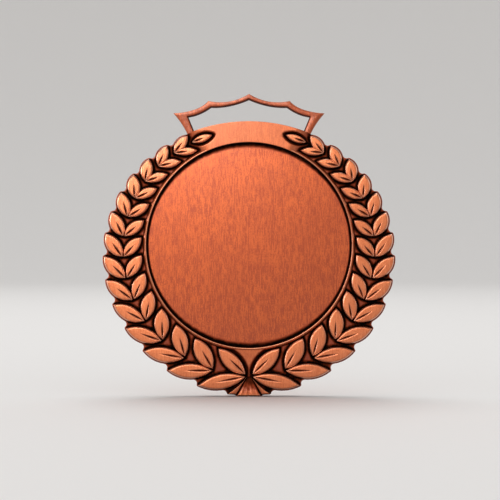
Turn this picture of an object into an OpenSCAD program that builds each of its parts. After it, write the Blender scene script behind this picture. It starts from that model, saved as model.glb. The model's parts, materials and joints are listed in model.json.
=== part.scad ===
// Award medal: an open laurel wreath round a plain brushed field, with a scalloped ribbon loop.
// It stands in the XZ plane with its face towards -Y. The origin is the centre of the field,
// half way through the thickness, so +Z points up through the ribbon loop.
// Every flat shape is drawn in its own plane and stood up by raised(), which turns the drawing's
// +Y into +Z and its height into -Y, towards the person looking at the medal.

/* [Wreath] */
// Radius of the outer leaf tips, low on the wreath
wreath_r = 35.54; // [34:0.02:38]
// How far the outer leaf tips close in towards the top band
crown_drop = 6.84; // [5:0.02:8]
// Radius of the line that both leaves of a pair grow from
stem_r = 30.45; // [30:0.05:31]
// How far that line closes in towards the top band
stem_drop = 3; // [2:0.1:3.4]
// Leaf pairs on each branch, not counting the single top leaf
leaf_pairs = 14; // [12:1:14]
// Angle from the top at which a branch's top leaf starts
top_deg = 28.7; // [27:0.1:30]
// Angle from the top at which its lowest pair starts
bottom_deg = 178.4; // [177:0.1:178.6]
// Half width of the largest outer leaves
outer_leaf_half = 1.75; // [1.5:0.05:1.8]
// Half width of the smallest inner leaves
inner_leaf_half = 0.84; // [0.7:0.02:0.9]
// Height of the leaves above the plate
leaf_h = 1.4; // [0.8:0.1:2]
// How far the foot of a leaf's side stands out past its top edge
leaf_draft = 0.14; // [0.05:0.01:0.18]
// Greatest depth of the groove that marks a leaf's midrib
rib_depth = 0.22; // [0.1:0.02:0.4]

/* [Plate] */
// Thickness of the base plate
plate_t = 2.4; // [2:0.1:3]
// How far the plate stands out past the leaves; along the top band it ends flush
plate_rim = 0.3; // [0.2:0.05:0.5]
// Radius that fills the notches between the leaf tips
notch_r = 0.9; // [0.3:0.1:1.2]
// Radius of the shallow blank field on the back
back_field_r = 24.5; // [20:0.5:25]
// Depth of that field
back_field_depth = 0.4; // [0.2:0.1:0.5]

/* [Field] */
// Radius of the recess inside the bezel ring
recess_r = 24.5; // [24.35:0.01:24.6]
// Radius of the brushed disc
disc_r = 24.2; // [23.9:0.05:24.25]
// Thickness of the brushed disc
disc_t = 0.9; // [0.6:0.1:1]
// Thickness of the adhesive pad behind the disc
pad_t = 0.1; // [0.05:0.01:0.15]
// Gap between the disc and its pocket, all round
pocket_gap = 0.08; // [0.03:0.01:0.1]

/* [Bezel and band] */
// Width of the bezel ring
bezel_w = 0.9; // [0.8:0.01:1.2]
// Height of the bezel ring's crest above the plate
bezel_h = 1; // [0.6:0.1:1.3]
// Height of the bezel ring's outer edge above the plate
bezel_edge_h = 0.25; // [0.1:0.05:0.5]
// Height of the top band above the plate
band_h = 1.1; // [0.6:0.1:1.3]
// Radius of the top band's outer edge
band_r = 38.27; // [37:0.01:40]
// Height of the raised band's upper edge above the origin
band_top = 29.55; // [29.3:0.05:29.6]
// Angle from the top at which the band's raised face ends
band_end_deg = 18.5; // [16:0.5:20]
// Height of the panel between the lowest leaves above the plate
panel_h = 0.8; // [0.5:0.1:1]

/* [Ribbon loop] */
// Height of the loop's peak above the origin
loop_top = 36.15; // [36:0.05:37]
// Thickness of the loop, front to back
loop_t = 1.8; // [1.2:0.1:2]
// How far the loop's face lies behind the plate's face
loop_setback = 0.15; // [0:0.05:0.4]

/* [Stem tie] */
// Half width of the tie's spread foot
tie_half = 5.3; // [4.6:0.1:5.6]
// Depth of the tie's foot below the origin
tie_foot = 36.15; // [36:0.05:37]
// Height of the tie above the plate
tie_h = 1; // [0.6:0.1:1.3]

/* [Hidden] */
$fn = 96;
SIDES = ["left", "right"];
PIECES = ["base_plate", "adhesive_pad", "centre_disc", "bezel_ring", "top_band", "bottom_panel",
          "ribbon_loop", "stem_tie"];
function two_digits(i) = i < 10 ? str("0", i) : str(i);
function pair_name(side, i) = str(side, "_leaf_pair_", two_digits(i));
function top_leaf_name(side) = str(side, "_top_leaf");

// levels through the thickness, counted from the middle towards the face
thickness = plate_t + leaf_h;
back_z = -thickness / 2;
ground_z = back_z + plate_t;
cut_through = 1;

// ---- curves and points, shared by the pieces ----

// A point at a radius and an angle from the top, on the left branch.
function polar(r, deg) = [-r * sin(deg), r * cos(deg)];

// Points of a curved edge from p to q, pulled towards c, without its last point.
edge_steps = 10;
function curved_edge(p, c, q) = [for (k = [0:edge_steps - 1]) let (t = k / edge_steps)
    (1 - t) * (1 - t) * p + 2 * t * (1 - t) * c + t * t * q];
// The other half of a symmetric outline, without the points that lie on the centre line.
function mirrored(points) = [for (k = [len(points) - 1:-1:0]) if (points[k][0] != 0)
    [-points[k][0], points[k][1]]];

// Stands a flat shape up as a plate between two levels.
module raised(from, height) {
    rotate([90, 0, 0]) translate([0, 0, from]) linear_extrude(height) children();
}

// ---- the wreath's rule: where each leaf starts and ends, and how wide it is ----

// The pairs stand closer together half way down and open out towards the bottom.
crowding = 0.44;
function share(i) = i / leaf_pairs;
function stem_deg(i) = let (u = share(i))
    top_deg + (bottom_deg - top_deg) * (u - crowding * u * u * (1 - u));

// 1 at the top of the medal, falling to 0 at the bottom.
function closing(deg) = pow((1 + cos(deg)) / 2, 2.6);

// The two leaves of a pair start a little apart, most at the bottom, where the line also drops.
base_split = 0.3;
bottom_dip = 0.65;
function stem_radius(i) = stem_r + bottom_dip * pow(share(i), 4) - stem_drop * closing(stem_deg(i));
function outer_base(i) = polar(stem_radius(i) + base_split * share(i), stem_deg(i));
function inner_base(i) = polar(stem_radius(i) - base_split * share(i), stem_deg(i));

// A pair's leaves reach to the base of the next pair up; low down the outer one reaches past it.
outer_lag_deg = 0.7;
outer_reach_deg = 4.1;
function outer_tip_deg(i) = stem_deg(i - 1) + outer_lag_deg - outer_reach_deg * pow(share(i), 2);
function outer_tip(i) = let (deg = outer_tip_deg(i))
    polar(wreath_r - crown_drop * closing(deg), deg);
tip_gap = 0.33;
function inner_tip(i) = polar(recess_r + bezel_w + tip_gap, stem_deg(i - 1));

// The single top leaf lies along the band.
top_leaf_tip = polar(27.63, 18.6);
top_leaf_base = polar(27.96, 29);
top_leaf_half = 0.84;

// Half widths: leaves are slim at the top; the bottom inner leaves are slimmed where they meet.
outer_slim = 0.67;
inner_gain = 1.2;
bottom_slim = 0.86;
function outer_half(i) = outer_leaf_half - outer_slim * pow(1 - share(i), 3);
function inner_half(i) = (inner_leaf_half + inner_gain * share(i)) * (i == leaf_pairs ? bottom_slim : 1);
// A leaf is fuller on the side away from the field.
outer_skew = 0.05;
inner_skew = 0.08;

// ---- one leaf: two arcs over the line from its base to its tip ----

function arc_r(chord, rise) = (chord * chord / 4 + rise * rise) / (2 * rise);
function side_normal(base, tip) = let (d = tip - base) [-d[1], d[0]] / norm(d);

// A side's arc, with way 1 on the side away from the field and -1 on the side towards it.
function side_rise(half, skew, way) = half * (1 + way * skew);
function side_r(base, tip, half, skew, way) = arc_r(norm(tip - base), side_rise(half, skew, way));
function side_centre(base, tip, half, skew, way) = let (r = side_r(base, tip, half, skew, way))
    (base + tip) / 2 + way * side_normal(base, tip) * (side_rise(half, skew, way) - r);

outline_fn = 48;
module leaf_outline(base, tip, half, skew) {
    intersection_for (way = [-1, 1])
        translate(side_centre(base, tip, half, skew, way))
            circle(side_r(base, tip, half, skew, way) + leaf_draft, $fn = outline_fn);
}

module leaf_body(base, tip, half, skew) {
    intersection_for (way = [-1, 1]) {
        r = side_r(base, tip, half, skew, way);
        translate(side_centre(base, tip, half, skew, way))
            cylinder(h = leaf_h, r1 = r + leaf_draft, r2 = r);
    }
}

// The midrib is a groove that is deepest in its middle and runs out to nothing at both ends.
rib_start = 0.1;
rib_end = 0.6;
module midrib(base, tip) {
    d = tip - base;
    half_length = norm(d) * (rib_end - rib_start) / 2;
    middle = base + d * (rib_start + rib_end) / 2;
    translate(concat(middle, leaf_h)) rotate([0, 0, atan2(d[1], d[0])]) {
        for (way = [-90, 90]) rotate([0, way, 0]) cylinder(h = half_length, r1 = rib_depth, r2 = 0);
    }
}

module leaf(base, tip, half, skew) {
    rotate([90, 0, 0]) translate([0, 0, ground_z]) difference() {
        leaf_body(base, tip, half, skew);
        midrib(base, tip);
    }
}

module on_side(side) {
    if (side == "left") children();
    else mirror([1, 0, 0]) children();
}

module leaf_pair(side, i) {
    color("#f0966a") on_side(side) {
        leaf(outer_base(i), outer_tip(i), outer_half(i), outer_skew);
        leaf(inner_base(i), inner_tip(i), inner_half(i), inner_skew);
    }
}

module top_leaf(side) {
    color("#f0966a") on_side(side) leaf(top_leaf_base, top_leaf_tip, top_leaf_half, outer_skew);
}

// ---- outlines of the band, the tie and the whole plate ----

// Half width of the plate under the band, where the loop's feet stand.
band_half = 14.3;
module band_field(inset = 0) {
    intersection() {
        translate([0, band_top - band_r]) circle(band_r - inset, $fn = 240);
        translate([-band_half, recess_r * cos(asin(band_half / recess_r))])
            square([2 * band_half, band_top]);
    }
}

tie_bottom = plate_rim - tie_foot;
tie_apex = [0, -31.3];
tie_tip = [tie_half - plate_rim, tie_bottom + 0.45];
tie_notch = [3.1, tie_bottom + 0.35];
tie_pull = [2.1, -33.3];
foot_lean = 0.35;
tie_right = concat(curved_edge(tie_apex, tie_pull, tie_tip),
                   [tie_tip, tie_notch, [tie_notch[0] - foot_lean, tie_bottom]]);
module tie_outline() {
    polygon(concat(tie_right, mirrored(tie_right)));
}

module branch_outline() {
    leaf_outline(top_leaf_base, top_leaf_tip, top_leaf_half, outer_skew);
    for (i = [1:leaf_pairs]) {
        leaf_outline(outer_base(i), outer_tip(i), outer_half(i), outer_skew);
        leaf_outline(inner_base(i), inner_tip(i), inner_half(i), inner_skew);
    }
}

// The ground between the branches: everything inside the line that the pairs grow from.
stem_line = [for (i = [0:leaf_pairs]) polar(stem_radius(i), stem_deg(i))];
corner_fn = 16;
module plate_outline() {
    offset(r = -notch_r, $fn = corner_fn) offset(r = notch_r + plate_rim, $fn = corner_fn) {
        branch_outline();
        mirror([1, 0]) branch_outline();
        polygon(concat(stem_line, mirrored(stem_line)));
        band_field(plate_rim);
        tie_outline();
    }
}

// ---- the pieces ----

pocket_depth = disc_t + pad_t;

module base_plate() {
    color("#8a3c22") difference() {
        raised(back_z, plate_t) plate_outline();
        raised(ground_z - pocket_depth, pocket_depth + cut_through) circle(disc_r + pocket_gap);
        raised(back_z - cut_through, back_field_depth + cut_through) circle(back_field_r);
    }
}

module adhesive_pad() {
    pad_inset = 0.5;
    color("white") raised(ground_z - pocket_depth, pad_t) circle(disc_r - pad_inset);
}

module centre_disc() {
    color("#d9703f") raised(ground_z - disc_t, disc_t) circle(disc_r);
}

crest_w = 0.35;
crest_round = 0.08;
module bezel_ring() {
    outer = recess_r + bezel_w;
    color("#e88a5c") rotate([90, 0, 0]) translate([0, 0, ground_z]) rotate_extrude() polygon([
        [recess_r, 0],
        [recess_r, bezel_h - crest_round],
        [recess_r + crest_round, bezel_h],
        [recess_r + crest_w, bezel_h],
        [outer, bezel_edge_h],
        [outer, 0]
    ]);
}

// The band's ends follow the top leaves at a distance, and its lower edge follows the bezel ring.
band_leaf_gap = 0.7;
module top_band() {
    far = 2 * band_r;
    color("#e8875a") raised(ground_z, band_h) difference() {
        intersection() {
            band_field();
            polygon([[0, 0], polar(far, band_end_deg), polar(far, -band_end_deg)]);
        }
        circle(recess_r + bezel_w);
        for (flip = [0, 1]) mirror([flip, 0]) offset(r = band_leaf_gap)
            leaf_outline(top_leaf_base, top_leaf_tip, top_leaf_half, outer_skew);
    }
}

// The panel fills the space between the bezel ring and the two lowest inner leaves.
panel_leaf_gap = 0.55;
panel_half_deg = 12.5;
panel_r = 29.6;
module bottom_panel() {
    far = 2 * panel_r;
    color("#cf7048") raised(ground_z, panel_h) difference() {
        intersection() {
            circle(panel_r);
            polygon([[0, 0], polar(far, 180 - panel_half_deg), polar(far, 180 + panel_half_deg)]);
        }
        circle(recess_r + bezel_w);
        for (flip = [0, 1]) mirror([flip, 0]) offset(r = panel_leaf_gap)
            leaf_outline(inner_base(leaf_pairs), inner_tip(leaf_pairs), inner_half(leaf_pairs),
                         inner_skew);
    }
}

// The loop is a thin bar with a peak and two cusps, drawn as the right half of its two edges.
loop_cusp = [9.76, 34.45];
loop_corner = [18.06, 31.5];
loop_foot = [14.5, 26];
slot_peak = [0, loop_top - 1.4];
slot_cusp = [9.07, 32.9];
slot_corner = [14.5, 30.6];
slot_foot = [12.6, 26];
loop_edge = concat(curved_edge([0, loop_top], [4.44, 33.4], loop_cusp),
                   curved_edge(loop_cusp, [11.9, 31.9], loop_corner),
                   curved_edge(loop_corner, [15.8, 29], loop_foot), [loop_foot]);
slot_edge = concat(curved_edge(slot_peak, [4.67, 32.7], slot_cusp),
                   curved_edge(slot_cusp, [11.7, 30.95], slot_corner), [slot_corner, slot_foot]);
loop_right = concat(loop_edge, [for (k = [len(slot_edge) - 1:-1:0]) slot_edge[k]]);
module ribbon_loop() {
    color("#b9623f") difference() {
        raised(ground_z - loop_setback - loop_t, loop_t)
            polygon(concat(loop_right, mirrored(loop_right)));
        raised(back_z - cut_through, thickness + 2 * cut_through) plate_outline();
    }
}

module stem_tie() {
    color("#e08358") raised(ground_z, tie_h) tie_outline();
}

base_plate();
adhesive_pad();
centre_disc();
bezel_ring();
top_band();
bottom_panel();
ribbon_loop();
stem_tie();
for (side = SIDES) {
    top_leaf(side);
    for (i = [1:leaf_pairs]) {
        leaf_pair(side, i);
    }
}
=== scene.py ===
import json
import math

import bmesh
import bpy
import numpy as np
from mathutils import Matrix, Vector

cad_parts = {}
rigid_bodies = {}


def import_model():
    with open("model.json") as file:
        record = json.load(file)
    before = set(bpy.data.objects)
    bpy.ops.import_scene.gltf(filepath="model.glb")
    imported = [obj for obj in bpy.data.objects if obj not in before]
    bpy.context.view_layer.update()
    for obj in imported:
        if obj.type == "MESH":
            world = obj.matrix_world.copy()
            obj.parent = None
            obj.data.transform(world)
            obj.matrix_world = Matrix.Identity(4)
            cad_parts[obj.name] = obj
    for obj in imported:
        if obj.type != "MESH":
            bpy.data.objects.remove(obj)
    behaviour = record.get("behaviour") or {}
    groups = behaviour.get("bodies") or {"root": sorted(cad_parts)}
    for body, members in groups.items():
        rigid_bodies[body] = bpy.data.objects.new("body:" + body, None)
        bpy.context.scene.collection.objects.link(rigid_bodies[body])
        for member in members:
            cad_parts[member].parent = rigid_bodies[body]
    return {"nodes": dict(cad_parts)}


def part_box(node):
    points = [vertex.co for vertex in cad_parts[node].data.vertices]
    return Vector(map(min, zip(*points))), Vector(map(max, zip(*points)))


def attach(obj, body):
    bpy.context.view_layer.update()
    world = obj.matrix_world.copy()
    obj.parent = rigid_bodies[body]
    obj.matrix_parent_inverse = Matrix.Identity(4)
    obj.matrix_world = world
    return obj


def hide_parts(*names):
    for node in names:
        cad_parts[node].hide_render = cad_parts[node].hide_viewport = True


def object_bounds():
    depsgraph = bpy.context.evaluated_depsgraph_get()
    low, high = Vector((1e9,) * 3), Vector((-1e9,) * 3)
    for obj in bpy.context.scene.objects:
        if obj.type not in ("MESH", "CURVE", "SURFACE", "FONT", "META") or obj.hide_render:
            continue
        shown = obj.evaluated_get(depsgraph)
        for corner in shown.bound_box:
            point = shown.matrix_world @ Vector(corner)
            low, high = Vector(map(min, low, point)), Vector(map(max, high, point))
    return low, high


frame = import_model()
cad_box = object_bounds()

# ---- Base plate ----
# The plate is stamped from red brass, and its edge follows the wreath. It carries every other piece,
# with a round pocket for the disc on its face and a shallow blank field on its back.
# It is plated with copper and blackened, so its ground stays dark wherever polishing can't reach.
MM = 0.001
FACE_Y, BACK_Y = (corner.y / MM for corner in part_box("base_plate"))
GROUND = -FACE_Y
BACK = -BACK_Y
FIELD_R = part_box("centre_disc")[1].x / MM
BEZEL_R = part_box("bezel_ring")[1].x / MM
LEAF_TOP = -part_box("left_top_leaf")[0].y / MM


def smooth(low, high, value):
    """0 below low, 1 above high, and a soft step between them."""
    t = np.clip((np.asarray(value, float) - low) / (high - low), 0, 1)
    return t * t * (3 - 2 * t)


def polar(radius, deg):
    """A point of the left branch, by its distance from the centre and its angle from the top."""
    return np.array([-radius * math.sin(math.radians(deg)), radius * math.cos(math.radians(deg))])


# The wreath, as it is laid out on the plate: lengths in mm, angles from the top of the medal.
LEAF_PAIRS = 14
LEAF_DRAFT = 0.14
TOP_DEG, BOTTOM_DEG = 28.7, 178.4
# How much the pairs open out down the branch, and how quickly the wreath closes in near its top.
OPENING_OUT = 0.44
CLOSING_POWER = 2.6
# Radius of the line that both leaves of a pair grow from, its drop at the top and rise at the bottom.
STEM_R, STEM_DROP, STEM_RISE = 30.45, 3, 0.65
# How far each leaf of the lowest pair starts to its side of that line.
STEM_HALF = 0.3
# Radius of the outer tips and their drop at the top, and how their angle changes down the wreath.
WREATH_R, CROWN_DROP = 35.54, 6.84
TIP_LAG, TIP_LEAD = 0.7, 4.1
# Half widths of the leaves, how they change down the branch, and how lopsided the leaves are.
OUTER_HALF, OUTER_SHRINK, OUTER_SKEW = 1.75, 0.67, 0.05
INNER_HALF, INNER_GROWTH, INNER_SKEW = 0.84, 1.2, 0.08
INNER_TIP_GAP = 0.33
LOWEST_INNER_SHARE = 0.86


def stem_deg(i):
    """Angle at which pair i starts: the pairs open out towards the bottom of the wreath."""
    u = i / LEAF_PAIRS
    return TOP_DEG + (BOTTOM_DEG - TOP_DEG) * (u - OPENING_OUT * u * u * (1 - u))


def closing(deg):
    """How far the wreath closes in: 1 at the top of the medal, 0 at the bottom."""
    return ((1 + math.cos(math.radians(deg))) / 2) ** CLOSING_POWER


def leaf(base, tip, half, skew):
    """A leaf's foot: an arc on the side away from the field, and one on the side towards it."""
    along = (tip - base) / np.linalg.norm(tip - base)
    away = np.array([-along[1], along[0]])
    arcs = []
    for way in (1, -1):
        rise = half * (1 + way * skew)
        radius = (np.sum((tip - base) ** 2) / 4 + rise * rise) / (2 * rise)
        arcs.append(((base + tip) / 2 + way * away * (rise - radius), radius + LEAF_DRAFT))
    return {"base": base, "tip": tip, "arcs": arcs}


def mirrored(one):
    """The same leaf on the right branch."""
    flip = np.array([-1, 1])
    arcs = [(centre * flip, radius) for centre, radius in one["arcs"]]
    return {"base": one["base"] * flip, "tip": one["tip"] * flip, "arcs": arcs}


def pair(i):
    """The outer and the inner leaf of pair i on the left branch."""
    u = i / LEAF_PAIRS
    stem_r = STEM_R + STEM_RISE * u**4 - STEM_DROP * closing(stem_deg(i))
    tip_deg = stem_deg(i - 1) + TIP_LAG - TIP_LEAD * u * u
    outer = leaf(
        polar(stem_r + STEM_HALF * u, stem_deg(i)),
        polar(WREATH_R - CROWN_DROP * closing(tip_deg), tip_deg),
        OUTER_HALF - OUTER_SHRINK * (1 - u) ** 3,
        OUTER_SKEW,
    )
    inner = leaf(
        polar(stem_r - STEM_HALF * u, stem_deg(i)),
        polar(BEZEL_R + INNER_TIP_GAP, stem_deg(i - 1)),
        (INNER_HALF + INNER_GROWTH * u) * (LOWEST_INNER_SHARE if i == LEAF_PAIRS else 1),
        INNER_SKEW,
    )
    return [outer, inner]


top_leaf = leaf(polar(27.96, 29), polar(27.63, 18.6), INNER_HALF, OUTER_SKEW)
SPRIGS = {"left_top_leaf": [top_leaf]}
for i in range(1, LEAF_PAIRS + 1):
    SPRIGS[f"left_leaf_pair_{i:02d}"] = pair(i)
for name in list(SPRIGS):
    SPRIGS[name.replace("left", "right")] = [mirrored(one) for one in SPRIGS[name]]


def foot_axis(one):
    """The middle of a leaf's foot, the ways across and along it, and how far its points reach."""
    (away_c, away_r), (near_c, near_r) = one["arcs"]
    apart = np.linalg.norm(near_c - away_c)
    across = (near_c - away_c) / apart
    cut = (away_r**2 - near_r**2 + apart**2) / (2 * apart)
    along = one["tip"] - one["base"]
    return away_c + across * cut, across, along / np.linalg.norm(along), math.sqrt(away_r**2 - cut**2)


def leaf_gap(points):
    """Distance from points to the nearest leaf's foot, in mm."""
    nearest = np.full(points.shape[:-1], np.inf)
    for one in sum(SPRIGS.values(), []):
        middle, _, along, reach = foot_axis(one)
        for end in (middle - along * reach, middle + along * reach):
            nearest = np.minimum(nearest, np.linalg.norm(points - end, axis=-1))
        within = np.ones(points.shape[:-1], bool)
        for (centre, radius), (other, other_r) in (one["arcs"], one["arcs"][::-1]):
            away = np.linalg.norm(points - centre, axis=-1)
            touch = centre + (points - centre) * (radius / away)[..., None]
            meets = (away > radius) & (np.linalg.norm(touch - other, axis=-1) <= other_r)
            nearest = np.where(meets, np.minimum(nearest, away - radius), nearest)
            within &= away <= radius
        nearest = np.where(within, 0, nearest)
    return nearest


def grid_faces(rows, columns, wrap=False):
    """Quads between the rows of a grid of points; wrap joins the last column to the first."""
    faces = []
    for start in range(0, (rows - 1) * columns, columns):
        for c in range(columns if wrap else columns - 1):
            one, beside = start + c, start + (c + 1) % columns
            faces.append((one, beside, beside + columns, one + columns))
    return faces


# Points closer than this are joined into one.
WELD = 0.002 * MM


def make_piece(name, points, faces, hollow, edge, material, nodes):
    """Makes a piece from points (x, z, height towards the face) in mm. hollow is how deep in the
    relief a point lies, with painted shade added on the disc's top margin, a leaf groove wall and
    the loop's slot; edge is how worn it is, with a painted highlight added along the leaf grooves.
    Both are 0 to 1, for the finish to use."""
    points = np.asarray(points, float)
    mesh = bpy.data.meshes.new(name)
    mesh.from_pydata([(x * MM, -h * MM, z * MM) for x, z, h in points], [], faces)
    for label, values in (("hollow", hollow), ("edge", edge)):
        layer = mesh.attributes.new(label, "FLOAT", "POINT")
        layer.data.foreach_set("value", np.broadcast_to(values, len(points)).astype(np.float32))
    joined = bmesh.new()
    joined.from_mesh(mesh)
    bmesh.ops.remove_doubles(joined, verts=joined.verts, dist=WELD)
    bmesh.ops.recalc_face_normals(joined, faces=joined.faces)
    # A thin sheet can come out of that inside out.
    if joined.calc_volume(signed=True) < 0:
        bmesh.ops.reverse_faces(joined, faces=joined.faces)
    joined.to_mesh(mesh)
    joined.free()
    mesh.shade_smooth()
    mesh.materials.append(material)
    piece = bpy.data.objects.new(name, mesh)
    bpy.context.scene.collection.objects.link(piece)
    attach(piece, "root")
    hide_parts(*nodes)
    return piece


def linear(hex_colour):
    """An sRGB hex colour as linear RGBA."""
    channels = [int(hex_colour[k : k + 2], 16) / 255 for k in (1, 3, 5)]
    return [c / 12.92 if c <= 0.04045 else ((c + 0.055) / 1.055) ** 2.4 for c in channels] + [1.0]


def add_node(tree, kind, inputs=(), **settings):
    """Adds one node; an input is a value, or a socket to link from."""
    node = tree.nodes.new(kind)
    for key, value in settings.items():
        setattr(node, key, value)
    for key, value in dict(inputs).items():
        if isinstance(value, bpy.types.NodeSocket):
            tree.links.new(value, node.inputs[key])
        else:
            node.inputs[key].default_value = value
    return node


# Real strokes are some 0.05 mm wide. They are drawn coarser, so that they show.
STROKE_MM = 0.26
STREAK_MM, STAIN_MM, MOTTLE_MM = 1.1, 9.0, 0.9
SCRATCH_DEPTH_MM = 0.03
BROWN_FILM, BLACK_FILM = "#7C331C", "#0C0503"
LACQUER_ROUGHNESS = 0.25


def antique_copper(name, polished, shade, worn, roughness, grain_range):
    """Copper plate, blackened in a sulphide bath and then relieved: the raised faces are rubbed back
    to bright metal along straight vertical strokes, and the black stays in the hollows. A clear
    lacquer gives the rubbed faces a second, softer highlight.
    polished, shade and worn are the rubbed face, the dark side of its grain, and its edges.
    grain_range is how much the grain has to vary to go from shade to polished: less is starker."""
    material = bpy.data.materials.new(name)
    material.use_nodes = True
    tree = material.node_tree
    tree.nodes.clear()
    place = add_node(tree, "ShaderNodeTexCoord").outputs["Object"]

    def noise(size_mm, stretch=1.0, detail=3.0, rough=0.55):
        """Cloudy noise with features of a real size, drawn out upwards by stretch."""
        scale = 1 / (size_mm * MM)
        scales = (scale, scale, scale / stretch)
        scaled = add_node(tree, "ShaderNodeMapping", {"Vector": place, "Scale": scales})
        inputs = {"Vector": scaled.outputs["Vector"], "Scale": 1.0, "Detail": detail, "Roughness": rough}
        return add_node(tree, "ShaderNodeTexNoise", inputs).outputs["Fac"]

    def spread(value, low, high, to_low=0.0, to_high=1.0):
        """Maps a value's range onto another, clamped."""
        inputs = {"Value": value, "From Min": low, "From Max": high, "To Min": to_low, "To Max": to_high}
        return add_node(tree, "ShaderNodeMapRange", inputs).outputs["Result"]

    def mix(factor, one, other):
        """Mixes two colours."""
        inputs = {"Factor": factor, "A": one, "B": other}
        node = add_node(tree, "ShaderNodeMix", data_type="RGBA")
        for key, value in inputs.items():
            socket = next(s for s in node.inputs if s.name == key and s.enabled)
            if isinstance(value, bpy.types.NodeSocket):
                tree.links.new(value, socket)
            else:
                socket.default_value = value
        return next(s for s in node.outputs if s.enabled)

    def math_node(operation, one, other):
        """Adds or multiplies two values."""
        return add_node(tree, "ShaderNodeMath", {0: one, 1: other}, operation=operation).outputs[0]

    # The grain is half long strokes, the rest short specks and a few wider streaks.
    strokes = noise(STROKE_MM, stretch=9, detail=2.0, rough=0.6)
    specks = noise(STROKE_MM, stretch=1.6, detail=2.0, rough=0.6)
    streaks = noise(STREAK_MM, stretch=5, detail=2.0)
    scratched = math_node("ADD", math_node("MULTIPLY", strokes, 0.5), math_node("MULTIPLY", specks, 0.35))
    grain = math_node("ADD", scratched, math_node("MULTIPLY", streaks, 0.15))
    clouds = noise(STAIN_MM, stretch=1.4)
    mottle = noise(MOTTLE_MM)

    # hollow carries the black of the hollows and, in a few places, painted shade; edge carries worn edges
    # and, along the leaves' grooves, a painted highlight.
    # The mottle breaks up the line between rubbed and black.
    hollow = add_node(tree, "ShaderNodeAttribute", attribute_name="hollow").outputs["Fac"]
    edge = add_node(tree, "ShaderNodeAttribute", attribute_name="edge").outputs["Fac"]
    broken = math_node("ADD", hollow, spread(mottle, 0.3, 0.7, -0.10, 0.10))
    stroke_tone = spread(grain, 0.5 - grain_range, 0.5 + grain_range)
    rubbed = mix(stroke_tone, linear(shade), linear(polished))
    clouded = mix(spread(clouds, 0.4, 0.7, 0.0, 0.25), rubbed, linear(shade))
    worn_and_painted_highlight = mix(spread(edge, 0.25, 1.0), clouded, linear(worn))
    browned = mix(spread(broken, 0.08, 0.5), worn_and_painted_highlight, linear(BROWN_FILM))
    black = mix(spread(broken, 0.45, 0.95), browned, linear(BLACK_FILM))
    dull = spread(broken, 0.1, 0.9, 0.0, 0.28)
    stroke_roughness = spread(grain, 0.35, 0.65, roughness + 0.06, roughness - 0.06)
    scratch_depth = SCRATCH_DEPTH_MM * MM
    depth = add_node(tree, "ShaderNodeBump", {"Height": grain, "Strength": 0.5, "Distance": scratch_depth})
    shader = add_node(
        tree,
        "ShaderNodeBsdfPrincipled",
        {
            "Base Color": black,
            "Metallic": 1.0,
            "Roughness": math_node("ADD", stroke_roughness, dull),
            "Normal": depth.outputs["Normal"],
            "Coat Weight": spread(broken, 0.1, 0.6, 1.0, 0.0),
            "Coat Roughness": LACQUER_ROUGHNESS,
        },
    )
    add_node(tree, "ShaderNodeOutputMaterial", {"Surface": shader.outputs["BSDF"]})
    return material


# The ground keeps most of its blackening: a dull red brown, almost black beside the leaves.
ground_copper = antique_copper("antique_copper_ground", "#8A3A20", "#6A2813", "#B4623C", 0.46, 0.1)

# The plate's edge, as its distance from the centre all the way round, from the frame's own mesh.
COLUMNS = 1440
SPOKES = np.radians(np.arange(COLUMNS) * 360 / COLUMNS)


def edge_radius():
    """How far the plate reaches along each spoke, in mm, measured on its back face."""
    mesh = frame["nodes"]["base_plate"].data
    flat = np.array([(v.co.x, v.co.z, v.co.y) for v in mesh.vertices]) / MM
    ends = np.array([tuple(e.vertices) for e in mesh.edges])
    on_back = (np.abs(flat[ends, 2] - BACK_Y) < 0.01).all(1)
    start, stop = flat[ends[on_back, 0], :2], flat[ends[on_back, 1], :2]
    reach = np.zeros(COLUMNS)
    for k, spoke in enumerate(SPOKES):
        ray = np.array([math.sin(spoke), math.cos(spoke)])
        side = start @ [-ray[1], ray[0]], stop @ [-ray[1], ray[0]]
        crosses = side[0] * side[1] <= 0
        share = side[0][crosses] / (side[0][crosses] - side[1][crosses] + 1e-9)
        where = start[crosses] + share[:, None] * (stop[crosses] - start[crosses])
        reach[k] = (where @ ray).max()
    return reach


PLATE_R = edge_radius()
POCKET_GAP, POCKET_DEPTH = 0.08, 1.0
POCKET_R = FIELD_R + POCKET_GAP
POCKET_FLOOR = GROUND - POCKET_DEPTH
BACK_FIELD_R, BACK_FIELD_DEPTH = 24.5, 0.4
BACK_FIELD = BACK + BACK_FIELD_DEPTH
EDGE_ROUND = 0.12
# A ring this small closes a round face at its centre.
CENTRE_R = 0.001


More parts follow.
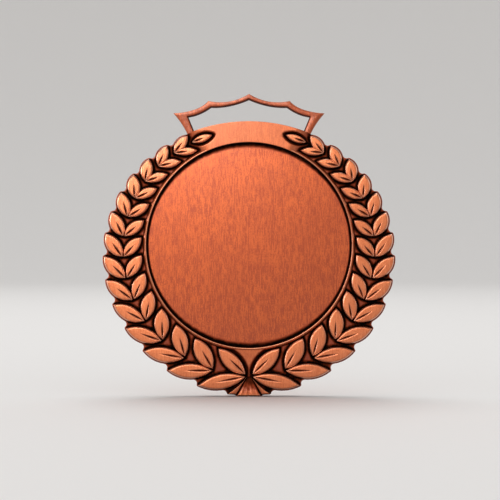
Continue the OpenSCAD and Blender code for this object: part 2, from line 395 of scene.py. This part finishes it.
def plate_rows():
    """Rings of points from the pocket's centre, over the face, round the edge and over the back."""
    pocket = ((CENTRE_R, POCKET_FLOOR), (POCKET_R, POCKET_FLOOR), (POCKET_R, GROUND))
    rings = [(np.full(COLUMNS, r), h) for r, h in pocket]
    reach = PLATE_R - EDGE_ROUND
    for share in np.linspace(0.04, 1, 26):
        rings.append((POCKET_R + (reach - POCKET_R) * share, GROUND))
    for turn in (30, 60, 90):
        out = EDGE_ROUND * math.sin(math.radians(turn))
        down = EDGE_ROUND * (1 - math.cos(math.radians(turn)))
        rings.append((reach + out, GROUND - down))
    for share in (0.33, 0.66):
        rings.append((PLATE_R, GROUND - EDGE_ROUND + (BACK - GROUND + 2 * EDGE_ROUND) * share))
    for turn in (90, 60, 30, 0):
        out = EDGE_ROUND * math.sin(math.radians(turn))
        up = EDGE_ROUND * (1 - math.cos(math.radians(turn)))
        rings.append((reach + out, BACK + up))
    for share in (0.25, 0.5, 0.75, 0.95):
        rings.append((reach + (BACK_FIELD_R - reach) * share, BACK))
    step = (
        (0.06, BACK),
        (0, BACK + 0.06),
        (0, BACK_FIELD - 0.05),
        (-0.05, BACK_FIELD),
        (-0.6, BACK_FIELD),
    )
    for past, h in step:
        rings.append((np.full(COLUMNS, BACK_FIELD_R + past), h))
    for r in (18.0, 12.0, 6.0, CENTRE_R):
        rings.append((np.full(COLUMNS, r), BACK_FIELD))
    return rings


points = np.concatenate(
    [np.stack([r * np.sin(SPOKES), r * np.cos(SPOKES), np.full(COLUMNS, h)], 1) for r, h in plate_rows()]
)
# How black the plate stays: least on its flat back and on its edge, more on the open ground, and
# nearly black beside the leaves, under the ring and round the tie.
BACK_TONE, SIDE_TONE, GROUND_TONE, TIE_TONE, STEP_TONE = 0.12, 0.25, 0.3, 0.9, 0.8
LEAF_BLACK = (0.15, 1.1)
EDGE_RUBBED = (0.1, 0.45)
TIE_DOWN, TIE_OUT = (30.8, 31.8), (5.2, 6.0)
BACK_EDGE = 0.6
x, z, height = points.T
radius = np.hypot(x, z)
from_edge = np.tile(PLATE_R, len(points) // COLUMNS) - radius
on_face = height > GROUND - 0.01
on_back = height < BACK_FIELD + 0.05
beside_leaf = (1 - smooth(*LEAF_BLACK, leaf_gap(points[:, :2]))) * smooth(*EDGE_RUBBED, from_edge)
hollow = np.where(on_face, np.maximum(beside_leaf, GROUND_TONE), SIDE_TONE)
hollow = np.where(on_face & (radius < BEZEL_R - 0.2), 1, hollow)
beside_tie = smooth(*TIE_DOWN, -z) * (1 - smooth(*TIE_OUT, np.abs(x)))
hollow = np.maximum(hollow, np.where(on_face, TIE_TONE * beside_tie, 0))
in_step = 1 - smooth(0, 0.7, np.abs(radius - BACK_FIELD_R + 0.2))
hollow = np.where(on_back, np.maximum(BACK_TONE, STEP_TONE * in_step), hollow)
edge = np.where(np.abs(from_edge - EDGE_ROUND / 2) < EDGE_ROUND, 0.5, 0.0)
edge = np.where(on_back, BACK_EDGE, edge)
make_piece(
    "plate_blank",
    points,
    grid_faces(len(points) // COLUMNS, COLUMNS, wrap=True),
    hollow,
    edge,
    ground_copper,
    ["base_plate"],
)

# ---- Adhesive pad ----
# A thin disc of white acrylic foam tape, cut a little smaller than the disc and hidden behind it.
# It keeps the shape it was cut to, and its small closed cells give it a fine pale speckle.
FOAM_CELL_MM = 0.4
foam = bpy.data.materials.new("acrylic_foam_tape")
foam.use_nodes = True
foam_shader = foam.node_tree.nodes["Principled BSDF"]
foam_place = add_node(foam.node_tree, "ShaderNodeTexCoord").outputs["Object"]
foam_scale = 1 / (FOAM_CELL_MM * MM)
foam_cells = add_node(foam.node_tree, "ShaderNodeTexVoronoi", {"Vector": foam_place, "Scale": foam_scale})
foam_tone = add_node(foam.node_tree, "ShaderNodeValToRGB", {"Fac": foam_cells.outputs["Distance"]})
foam_tone.color_ramp.elements[0].color = linear("#D9D6CC")
foam_tone.color_ramp.elements[1].color = linear("#F2F0E8")
foam.node_tree.links.new(foam_tone.outputs["Color"], foam_shader.inputs["Base Color"])
foam_shader.inputs["Roughness"].default_value = 0.8
frame["nodes"]["adhesive_pad"].data.materials.clear()
frame["nodes"]["adhesive_pad"].data.materials.append(foam)

# ---- Centre disc ----
# The blank field is a separate disc of the same copper, brushed in straight vertical strokes on a
# belt before it is stuck in its pocket. Blackening stays in a soft margin along the ring, and
# near the top that margin is widened as a painted shadow of the ring.
disc_copper = antique_copper("antique_copper_brushed", "#BA5118", "#8E3409", "#C58665", 0.34, 0.055)
DISC_BACK = -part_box("centre_disc")[1].y / MM
DISC_TOP = -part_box("centre_disc")[0].y / MM
DISC_COLUMNS = 240
DISC_ROUND = 0.1
spokes = np.radians(np.arange(DISC_COLUMNS) * 360 / DISC_COLUMNS)
rings = [(r, DISC_TOP) for r in (CENTRE_R, 4, 8, 12, 15, 17, 19, 20.5, 21.5, 22.2, 22.5, 22.8, 23.0)]
rings += [(r, DISC_TOP) for r in np.linspace(23.2, FIELD_R - 0.15, 12)]
rings += [(FIELD_R - DISC_ROUND, DISC_TOP), (FIELD_R, DISC_TOP - DISC_ROUND)]
rings += [(FIELD_R, DISC_BACK), (CENTRE_R, DISC_BACK)]
points = np.concatenate(
    [np.stack([r * np.sin(spokes), r * np.cos(spokes), np.full(DISC_COLUMNS, h)], 1) for r, h in rings]
)
radius = np.hypot(points[:, 0], points[:, 1])
# The margin is narrow at the sides. Towards the top and bottom it starts further in and fades
# over a wider band; at the top this widening is painted shadow cast by the ring's wall.
MARGIN_R, MARGIN_W, MARGIN_TONE = 23.75, 0.4, 0.95
FURTHER_IN, WIDER = 0.95, 0.8
upright = (points[:, 1] / np.maximum(radius, 1)) ** 2
margin_start = MARGIN_R - FURTHER_IN * upright
margin_and_painted_shadow = MARGIN_TONE * smooth(0, 1, (radius - margin_start) / (MARGIN_W + WIDER * upright))
make_piece(
    "brushed_field",
    points,
    grid_faces(len(rings), DISC_COLUMNS, wrap=True),
    margin_and_painted_shadow,
    0.0,
    disc_copper,
    ["centre_disc"],
)

# ---- Bezel ring ----
# A narrow ring round the field, soldered to the plate. Its inner wall is upright, its crest is a
# thin bright line, and its outer side falls in a hollow curve to the dark ground. The ring, the band
# and the panel are rubbed less than the leaves, and look a little deeper and redder.
band_copper = antique_copper("antique_copper_band", "#B85C2D", "#9B461B", "#CE936F", 0.40, 0.1)
RING_W = 0.9
RECESS_R = BEZEL_R - RING_W
BEZEL_TOP = -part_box("bezel_ring")[0].y / MM
RING_COLUMNS = 540
# Each point of the section: distance from the wall, height below the crest, hollow, edge.
section = [
    (0.0, 1.0, 1.0, 0.0),
    (0.0, 0.5, 1.0, 0.0),
    (0.0, 0.22, 0.7, 0.0),
    (0.05, 0.08, 0.2, 0.1),
    (0.13, 0.01, 0.0, 0.6),
    (0.22, 0.0, 0.0, 0.6),
    (0.33, 0.05, 0.0, 0.1),
    (0.48, 0.15, 0.05, 0.0),
    (0.64, 0.29, 0.05, 0.0),
    (0.78, 0.47, 0.1, 0.0),
    (0.87, 0.7, 0.2, 0.0),
    (RING_W, 1.0, 0.4, 0.0),
]
spokes = np.radians(np.arange(RING_COLUMNS) * 360 / RING_COLUMNS)
points, hollow, edge = [], [], []
for out, down, dark, worn in section:
    for spoke in spokes:
        r = RECESS_R + out
        points.append((r * math.sin(spoke), r * math.cos(spoke), BEZEL_TOP - down))
        hollow.append(dark)
        edge.append(worn)
faces = grid_faces(len(section), RING_COLUMNS, wrap=True)
last = (len(section) - 1) * RING_COLUMNS
faces += [(last + c, last + (c + 1) % RING_COLUMNS, (c + 1) % RING_COLUMNS, c) for c in range(RING_COLUMNS)]
make_piece("field_bezel", points, faces, hollow, edge, band_copper, ["bezel_ring"])

# ---- Top band ----
# The plain crescent above the field is pressed from the same sheet and soldered down over the ring's
# crest. Its face is brushed upright, and it sinks softly to the blackened ground round the top leaves.
BAND_TOP = -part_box("top_band")[0].y / MM
BAND_ARC_R = 38.27
BAND_ARC_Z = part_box("top_band")[1].z / MM - BAND_ARC_R
BAND_END_DEG = 34
BAND_FADE_DEG = (22, BAND_END_DEG)
BAND_SLOPE = (0, 0.75)
# The lip's radius, how far a sheet sinks below the ground where it ends, and how deep its back lies.
LIP, SUNK, UNDERSIDE = 0.12, 0.04, 0.1
SHEET_GAP = 0.02


def lip_fall(distance):
    """How far a rounded lip has fallen at a distance in from its edge."""
    short = np.clip(LIP - distance, 0, LIP)
    return LIP - np.sqrt(LIP**2 - short**2)


def solid(grid, underside):
    """Closes a grid of points (rows, columns, x z height) with upright sides and a flat underside."""
    rows, columns = grid.shape[:2]
    count = rows * columns
    under = grid.copy()
    under[..., 2] = underside
    top = grid_faces(rows, columns)
    bottom = [tuple(count + v for v in reversed(face)) for face in top]
    rim = list(range(columns)) + [r * columns - 1 for r in range(2, rows + 1)]
    rim += [count - 1 - c for c in range(1, columns)] + [r * columns for r in range(rows - 2, 0, -1)]
    sides = [(a, b, b + count, a + count) for a, b in zip(rim, rim[1:] + rim[:1])]
    return np.concatenate([grid.reshape(-1, 3), under.reshape(-1, 3)]), top + bottom + sides


def ring_sector(degs, inner, outer, shares):
    """Places over part of a ring, one row for each share of the way from inner to outer."""
    spokes = np.radians(degs)
    r = inner + (outer - inner) * shares[:, None]
    return np.stack([r * np.sin(spokes), r * np.cos(spokes)], -1), r


def pressed(name, node, places, top, rise, fall, edge):
    """A pressed sheet over a grid of places: rise is how far each is up from the ground, 0 to 1."""
    height = GROUND - SUNK + (top - GROUND + SUNK) * rise - fall
    points, faces = solid(np.dstack([places, height]), GROUND - UNDERSIDE)
    hollow = np.append((1 - rise).ravel(), np.ones(rise.size))
    edge = np.append(edge.ravel(), np.zeros(rise.size))
    make_piece(name, points, faces, hollow, edge, band_copper, [node])


degs = np.linspace(-BAND_END_DEG, BAND_END_DEG, 273)
spokes = np.radians(degs)
arc_r = BAND_ARC_Z * np.cos(spokes) + np.sqrt(BAND_ARC_R**2 - (BAND_ARC_Z * np.sin(spokes)) ** 2)
outer_r = np.minimum(arc_r, np.interp(degs % 360, np.degrees(SPOKES), PLATE_R)) - SHEET_GAP
inner_lip, outer_lip = [0, 0.004, 0.01, 0.018, 0.03], [0.97, 0.982, 0.99, 0.996, 1]
shares = np.concatenate([inner_lip, np.linspace(0.05, 0.95, 34), outer_lip])
places, r = ring_sector(degs, RECESS_R + SHEET_GAP, outer_r, shares)
rise = smooth(*BAND_SLOPE, leaf_gap(places)) * (1 - smooth(*BAND_FADE_DEG, np.abs(degs)))
from_lip = np.minimum(r - RECESS_R, outer_r - r)
worn = 0.45 * (1 - smooth(0.05, 0.2, from_lip))
pressed("top_crescent", "top_band", places, BAND_TOP, rise, lip_fall(from_lip), worn)

# ---- Bottom panel ----
# A small three-cornered panel fills the space between the ring and the two lowest inner leaves. It
# is pressed and soldered like the band, a little below the ring's crest.
PANEL_TOP = -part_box("bottom_panel")[0].y / MM
PANEL_OVERLAP = 0.4
PANEL_LOW_R = 30.8
PANEL_HALF_DEG = 17
PANEL_FADE_DEG = (15, 16.4)
PANEL_SLOPE = (0.1, 1.05)
degs = 180 + np.linspace(-PANEL_HALF_DEG, PANEL_HALF_DEG, 121)
low_r = np.full(len(degs), PANEL_LOW_R)
places, r = ring_sector(degs, RECESS_R + PANEL_OVERLAP, low_r, np.linspace(0, 1, 44))
lowest = SPRIGS[f"right_leaf_pair_{LEAF_PAIRS:02d}"][1]
middle, across, along, _ = foot_axis(lowest)
above_leaf = (np.abs(places[..., 0]) - middle[0]) * across[0] + (places[..., 1] - middle[1]) * across[1] < 0
rise = smooth(*PANEL_SLOPE, leaf_gap(places)) * above_leaf
rise = rise * (1 - smooth(*PANEL_FADE_DEG, np.abs(degs - 180)))
level = np.zeros_like(r)
pressed("lower_spandrel", "bottom_panel", places, PANEL_TOP, rise, level, level)

# ---- Leaves ----
# Each sprig is struck as two leaves from one point, and soldered to the ground. A leaf has steep
# sides, an edge rounded by polishing, a slightly domed face and a pointed groove for its midrib.
# The leaves stand highest, so the rubbing wheel leaves them the brightest, with the palest edges.
leaf_copper = antique_copper("antique_copper_relieved", "#CE7648", "#B55D32", "#D7A285", 0.40, 0.1)
LEAF_ROWS = 44
# Where the mesh lines lie across each half of a leaf: in from its foot, and out from its midrib.
# Where a half is narrower than FULL_HALF, they close up.
EDGE_STEPS = np.array([0, 0.06, 0.12, 0.17, 0.25, 0.33, 0.42, 0.5])
GROOVE_STEPS = np.array([0.5, 0.41, 0.34, 0.28, 0.21, 0.14, 0.08, 0.03, 0])
FULL_HALF = 1.0
# A leaf's height across its side and face, by distance in from its foot. A leaf less deep than
# FULL_DEPTH has a steeper side.
SIDE_IN = np.array([0, 0.06, 0.12, 0.17, 0.25, 0.33, 0.42, 0.55, 1.6])
SIDE_UP = np.array([0, 0.5, 0.88, 1.05, 1.16, 1.27, 1.36, 1.38, LEAF_TOP - GROUND])
FULL_DEPTH = 1.3
RIB_START, RIB_END = 0.03, 0.6
RIB_HALF, RIB_DEPTH = 0.33, 0.3
# The wall of a groove that faces up and left, towards the lights, is drawn lighter with a painted
# highlight along it, and the wall facing away keeps more black as painted shade.
PAINTED_LIGHT_FROM = np.array([-0.7, 0.7])
FOOT_SUNK = 0.05


def leaf_mesh(one):
    """Points, faces, hollow and edge of one leaf."""
    (away_c, away_r), (near_c, near_r) = one["arcs"]
    apart = np.linalg.norm(near_c - away_c)
    _, across, along, reach = foot_axis(one)
    length = np.linalg.norm(one["tip"] - one["base"])
    rib = (one["base"] - away_c) @ across
    points = []
    for k in range(LEAF_ROWS + 1):
        q = -reach * math.cos(math.pi * k / LEAF_ROWS)
        high = math.sqrt(max(away_r**2 - q * q, 0))
        low = apart - math.sqrt(max(near_r**2 - q * q, 0))
        row = []
        for end in (high, low):
            half = abs(end - rib)
            squeeze = min(1, half / FULL_HALF)
            edge_part = half - EDGE_STEPS * squeeze
            groove_part = GROOVE_STEPS * squeeze
            fill = np.linspace(edge_part[-1], groove_part[0], 5)[1:-1]
            side = np.concatenate([edge_part, fill, groove_part]) * np.sign(end - rib)
            row.append(rib + side)
        row = np.concatenate([row[0], row[1][-2::-1]])
        points += [away_c + across * t + along * q for t in row]
    points = np.array(points)
    columns = len(points) // (LEAF_ROWS + 1)
    from_arcs = [radius - np.linalg.norm(points - centre, axis=1) for centre, radius in one["arcs"]]
    depth = np.clip(np.min(from_arcs, axis=0), 0, None)
    share = ((points - one["base"]) @ along) / length
    off_rib = (points - one["base"]) @ across
    lit_wall = off_rib * -np.sign(across @ PAINTED_LIGHT_FROM) > 0.02
    off_rib = np.abs(off_rib)
    run = np.clip((share - RIB_START) / (RIB_END - RIB_START), 0, 1)
    swell = np.where((run > 0) & (run < 1), np.sin(np.pi * run**0.8) ** 0.85, 0)
    groove = swell * np.clip(1 - off_rib / (RIB_HALF * np.maximum(swell, 0.05)), 0, 1)
    side_up = np.interp(depth, SIDE_IN * min(1, depth.max() / FULL_DEPTH), SIDE_UP)
    height = side_up - RIB_DEPTH * groove
    # Painted shade: the groove's wall away from the light stays black further up than the wall towards it.
    groove_black_and_painted_shade = 0.8 * np.where(lit_wall, smooth(0.6, 1.0, groove), smooth(0.05, 0.4, groove))
    hollow = np.maximum(1 - smooth(0.55, 1.08, side_up), groove_black_and_painted_shade)
    # Painted highlight along the groove's wall towards the light, carried in edge.
    lip = np.where(lit_wall, smooth(0.02, 0.2, groove) * (1 - smooth(0.4, 0.7, groove)), 0)
    edge = np.maximum(0.8 * smooth(1.02, 1.1, side_up) * (1 - smooth(1.3, 1.37, side_up)), 0.7 * lip)
    height = np.where(depth <= 1e-6, -FOOT_SUNK, height)
    faces = grid_faces(LEAF_ROWS + 1, columns)
    first = [r * columns for r in range(LEAF_ROWS + 1)]
    last = [r * columns + columns - 1 for r in range(LEAF_ROWS, -1, -1)]
    faces.append(tuple(first + last[1:-1]))
    return np.column_stack([points, GROUND + height]), faces, hollow, edge


for name, leaves in SPRIGS.items():
    points, faces, hollow, edge = [], [], [], []
    for one in leaves:
        leaf_points, leaf_faces, leaf_hollow, leaf_edge = leaf_mesh(one)
        faces += [tuple(v + len(points) for v in face) for face in leaf_faces]
        points += list(leaf_points)
        hollow += list(leaf_hollow)
        edge += list(leaf_edge)
    make_piece(f"{name}_sprig", points, faces, hollow, edge, leaf_copper, [name])

# ---- Stem tie ----
# The foot where the branches meet is one small pressing, like the end of a spread ribbon: a fluted
# fan in the middle, dark at its root, with a smooth curled petal on each side.
TIE_TOP = -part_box("stem_tie")[0].y / MM
TIE_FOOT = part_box("stem_tie")[0].z / MM
# Corners of the right half: a petal runs from its apex to its tip and the notch beside the fan.
APEX = np.array([0.5, -31.35])
TIP = np.array([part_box("stem_tie")[1].x / MM, TIE_FOOT + 0.45])
TIP_PULL = np.array([2.3, -33.9])
NOTCH = np.array([3.1, TIE_FOOT + 0.35])
FAN_APEX = np.array([0.5, -31.55])
FAN_CORNER = np.array([2.75, TIE_FOOT])
FLUTES, FLUTE_DEPTH = 4, 0.04


def curve(start, pull, stop, shares):
    """Points along a curved edge from start to stop, pulled towards a third point."""
    t = np.asarray(shares)[:, None]
    return (1 - t) ** 2 * start + 2 * t * (1 - t) * pull + t * t * stop


def petal(flip):
    """The right petal's points, hollow and edge; flip of -1 gives the left one."""
    # The rows close up towards the foot, which is rounded.
    down = 1 - (1 - np.linspace(0, 1, 37)) ** 1.6
    outer = curve(APEX, TIP_PULL, TIP, down)
    inner = curve(APEX, (APEX + NOTCH) / 2, NOTCH, down)
    over = np.array([0, 0.03, 0.08, 0.15, 0.25, 0.38, 0.52, 0.66, 0.78, 0.87, 0.93, 0.97, 1])
    places = inner[:, None] + (outer - inner)[:, None] * over[None, :, None]
    width = np.linalg.norm(outer - inner, axis=1)[:, None]
    from_outer = (1 - over) * width
    from_foot = np.abs(places[..., 1] - (NOTCH[1] + (TIP[1] - NOTCH[1]) * over))
    dome = np.sqrt(np.clip(1 - (1 - np.minimum(over * 1.25 + 0.12, 1)) ** 2, 0, 1))
    up = (0.6 + 0.4 * dome) * smooth(-0.05, 0.08, from_outer) * (0.8 + 0.2 * smooth(0, 0.14, from_foot))
    height = GROUND - SUNK + (TIE_TOP - GROUND + SUNK) * up
    grid = np.dstack([places * [flip, 1], height])
    hollow = 0.9 - 0.9 * smooth(0.1, 0.4, up)
    edge = 0.5 * (1 - smooth(0.1, 0.35, from_outer)) * smooth(0.5, 0.9, up)
    return grid, hollow, edge


def fan():
    """The fluted middle's points, hollow and edge."""
    down = np.concatenate([np.linspace(0, 0.92, 30), [0.94, 0.96, 0.975, 0.985, 0.993, 1]])
    over = np.linspace(-1, 1, 49)
    half = FAN_APEX[0] + (FAN_CORNER[0] - FAN_APEX[0]) * down
    z = FAN_APEX[1] + (FAN_CORNER[1] - FAN_APEX[1]) * down
    places = np.stack(np.broadcast_arrays(half[:, None] * over, z[:, None]), -1)
    flute = np.abs(np.cos(math.pi * FLUTES / 2 * over)) * smooth(0.1, 0.6, down)[:, None]
    climb = (0.25 + 0.55 * smooth(0, 1, down))[:, None]
    beside_petal = smooth(0, 0.18, half[:, None] * (1 - np.abs(over)))
    foot_round = smooth(0, 0.035, 1 - down)[:, None]
    up = climb * (0.75 + 0.25 * beside_petal) * (0.9 + 0.1 * foot_round) - FLUTE_DEPTH * flute
    height = GROUND - SUNK + (TIE_TOP - GROUND + SUNK) * up
    rubbed = (0.58 * smooth(0, 1, down) + 0.25 * smooth(0.9, 0.97, down))[:, None]
    hollow = np.clip(0.85 - rubbed + 0.15 * (1 - beside_petal) + 0.08 * flute, 0, 1)
    edge = 0.6 * smooth(0.93, 0.98, down)[:, None] * np.ones_like(up)
    return np.dstack([places, height]), hollow, edge


points, faces, hollow, edge = np.empty((0, 3)), [], [], []
for grid, dark, worn in (petal(1), petal(-1), fan()):
    part_points, part_faces = solid(grid, GROUND - UNDERSIDE)
    faces += [tuple(v + len(points) for v in face) for face in part_faces]
    points = np.concatenate([points, part_points])
    hollow += [*dark.ravel(), *np.ones(dark.size)]
    edge += [*worn.ravel(), *np.zeros(worn.size)]
make_piece("branch_tie", points, faces, hollow, edge, leaf_copper, ["stem_tie"])

# ---- Ribbon loop ----
# The loop is a thin scalloped bar, cast in one with its two feet and soldered to the plate's edge.
# It sits back from the face, so the rubbing wheel misses it and it stays a darker satin copper.
loop_copper = antique_copper("antique_copper_satin", "#A04A1E", "#7C3211", "#B8704A", 0.42, 0.1)
# How much blacker than a rubbed face the loop stays all over.
TARNISH = 0.22
LOOP_FRONT = -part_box("ribbon_loop")[0].y / MM
LOOP_BACK = -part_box("ribbon_loop")[1].y / MM
LOOP_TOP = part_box("ribbon_loop")[1].z / MM
BAR_AT_PEAK = 1.4
STATIONS = np.linspace(0, 1, 13)[:-1]


def half_edge(peak, dip, cusp, sag, corner, pull, foot):
    """The right half of one edge of the bar: peak to cusp, cusp to corner, corner to foot."""
    stretches = ((peak, dip, cusp), (cusp, sag, corner), (corner, pull, foot))
    run = [curve(*(np.array(p, float) for p in stretch), STATIONS) for stretch in stretches]
    return np.concatenate([*run, [foot]])


def whole_edge(right):
    """Both halves of an edge, from the left foot to the right foot."""
    return np.concatenate([right[:0:-1] * [-1, 1], right])


def moved_in(line, distance, side):
    """A line moved sideways by a distance, keeping its corners sharp."""
    step = np.diff(line, axis=0)
    step /= np.linalg.norm(step, axis=1)[:, None]
    before = np.concatenate([step[:1], step])
    after = np.concatenate([step, step[-1:]])
    normals = [side * np.stack([d[:, 1], -d[:, 0]], 1) for d in (before, after)]
    share = 1 + np.sum(normals[0] * normals[1], axis=1)
    return line + distance * (normals[0] + normals[1]) / share[:, None]


outer = whole_edge(
    half_edge(
        peak=(0, LOOP_TOP),
        dip=(4.44, 33.4),
        cusp=(9.76, 34.45),
        sag=(11.9, 31.9),
        corner=(18.06, 31.5),
        pull=(15.8, 29),
        foot=(14.5, 26),
    )
)
slot = whole_edge(
    half_edge(
        peak=(0, LOOP_TOP - BAR_AT_PEAK),
        dip=(4.67, 32.7),
        cusp=(9.07, 32.9),
        sag=(11.7, 30.95),
        corner=(14.5, 30.6),
        pull=(13.55, 28.3),
        foot=(12.6, 26),
    )
)
# Each row of the section: which edge it follows, how far in from it, height, hollow, edge.
section = [
    (outer, 0.1, LOOP_BACK, 0.2, 0.2),
    (outer, 0.0, LOOP_BACK + 0.1, 0.35, 0.0),
    (outer, 0.0, LOOP_FRONT - 0.22, 0.3, 0.0),
    (outer, 0.03, LOOP_FRONT - 0.1, 0.0, 0.5),
    (outer, 0.09, LOOP_FRONT - 0.03, 0.0, 1.0),
    (outer, 0.17, LOOP_FRONT, 0.0, 0.3),
    (slot, 0.38, LOOP_FRONT, 0.0, 0.0),
    (slot, 0.3, LOOP_FRONT - 0.02, 0.05, 0.1),
    # The chamfer and walls along the slot are drawn darker than those on the outer side: painted shade
    # inside the opening.
    (slot, 0.2, LOOP_FRONT - 0.12, 0.45, 0.0),
    (slot, 0.06, LOOP_FRONT - 0.6, 0.6, 0.0),
    (slot, 0.0, LOOP_FRONT - 0.9, 0.6, 0.0),
    (slot, 0.0, LOOP_BACK + 0.1, 0.4, 0.0),
    (slot, 0.1, LOOP_BACK, 0.2, 0.2),
]
points, hollow, edge = [], [], []
for line, inset, height, dark, worn in section:
    moved = moved_in(line, inset, 1 if line is outer else -1)
    points += [(x, z, height) for x, z in moved]
    hollow += [dark + TARNISH] * len(line)
    edge += [worn] * len(line)
rows, columns = len(section), len(outer)
faces = grid_faces(rows, columns)
last = (rows - 1) * columns
faces += [(last + c, last + c + 1, c + 1, c) for c in range(columns - 1)]
faces += [tuple(r * columns + end for r in range(rows)) for end in (0, columns - 1)]
make_piece("scalloped_loop", points, faces, hollow, edge, loop_copper, ["ribbon_loop"])

# ---- Floor, light and camera ----
# A pale matt paper floor curves up into a wall all round, so that no line shows behind the medal. A
# wide box overhead lights all of it. Three small boxes light the medal alone: the key close to the
# camera, up and to the left; one far out to the left, which draws the leaves' edges; and a weak one
# on the right.
floor_z = cad_box[0][2]
FLAT_R, WALL_R, WALL_H = 1.2, 1.8, 0.7
BEND_R = WALL_R - FLAT_R
angles = np.linspace(0, math.pi / 2, 17)
bend = [(FLAT_R + BEND_R * math.sin(a), BEND_R * (1 - math.cos(a))) for a in angles]
profile = [(0.0005, 0), (0.1, 0), (0.4, 0), *bend, (WALL_R, WALL_H)]
SIDES = 128
turns = np.arange(SIDES) * 2 * math.pi / SIDES
points = [(r * math.cos(a), r * math.sin(a), floor_z + z) for r, z in profile for a in turns]
paper_mesh = bpy.data.meshes.new("studio_floor")
faces = [tuple(reversed(face)) for face in grid_faces(len(profile), SIDES, wrap=True)]
paper_mesh.from_pydata(points, [], faces)
paper_mesh.shade_smooth()
paper = bpy.data.materials.new("pale_matt_paper")
paper.use_nodes = True
paper_shader = paper.node_tree.nodes["Principled BSDF"]
paper_shader.inputs["Base Color"].default_value = linear("#EDEBE8")
paper_shader.inputs["Roughness"].default_value = 0.9
paper_mesh.materials.append(paper)
floor = bpy.data.objects.new("studio_floor", paper_mesh)
bpy.context.scene.collection.objects.link(floor)

world = bpy.data.worlds.new("studio")
world.use_nodes = True
sky = world.node_tree.nodes["Background"]
sky.inputs["Color"].default_value = linear("#E4E4E6")
sky.inputs["Strength"].default_value = 0.68
bpy.context.scene.world = world
bpy.context.scene.view_settings.view_transform = "Standard"

on_medal = bpy.data.collections.new("on_medal")
for piece in bpy.data.objects:
    if piece.type == "MESH" and piece is not floor:
        on_medal.objects.link(piece)


def softbox(name, place, size, power, colour="#FFFFFF", only=None):
    """A square light that faces the medal. A collection in only is all that it lights."""
    lamp = bpy.data.lights.new(name, "AREA")
    lamp.size = size
    lamp.energy = power
    lamp.color = linear(colour)[:3]
    holder = bpy.data.objects.new(name, lamp)
    holder.location = place
    holder.visible_camera = False
    holder.light_linking.receiver_collection = only
    holder.rotation_euler = (-holder.location).to_track_quat("-Z", "Y").to_euler()
    bpy.context.scene.collection.objects.link(holder)


softbox("overhead_softbox", (-0.15, 0.3, 1.2), 1.0, 8.0)
softbox("key_softbox", (-0.11, -0.42, 0.18), 0.26, 1.65, "#FFFAEC", on_medal)
softbox("side_softbox", (-0.60, -0.02, 0.10), 0.30, 3.4, "#FFF4F0", on_medal)
softbox("rim_softbox", (0.60, -0.05, 0.15), 0.30, 0.7, "#FFFFFF", on_medal)

# The camera looks straight at the medal's face. VIEW_WIDTH is how much it sees across at the medal.
LENS_MM, SENSOR_MM = 105.0, 36.0
VIEW_WIDTH = 119.6 * MM
camera = bpy.data.cameras.new("camera")
camera.lens = LENS_MM
camera.sensor_width = SENSOR_MM
camera_holder = bpy.data.objects.new("camera", camera)
camera_holder.location = (0.24 * MM, -VIEW_WIDTH * LENS_MM / SENSOR_MM, -1.18 * MM)
camera_holder.rotation_euler = (math.radians(90), 0, 0)
bpy.context.scene.collection.objects.link(camera_holder)
bpy.context.scene.camera = camera_holder
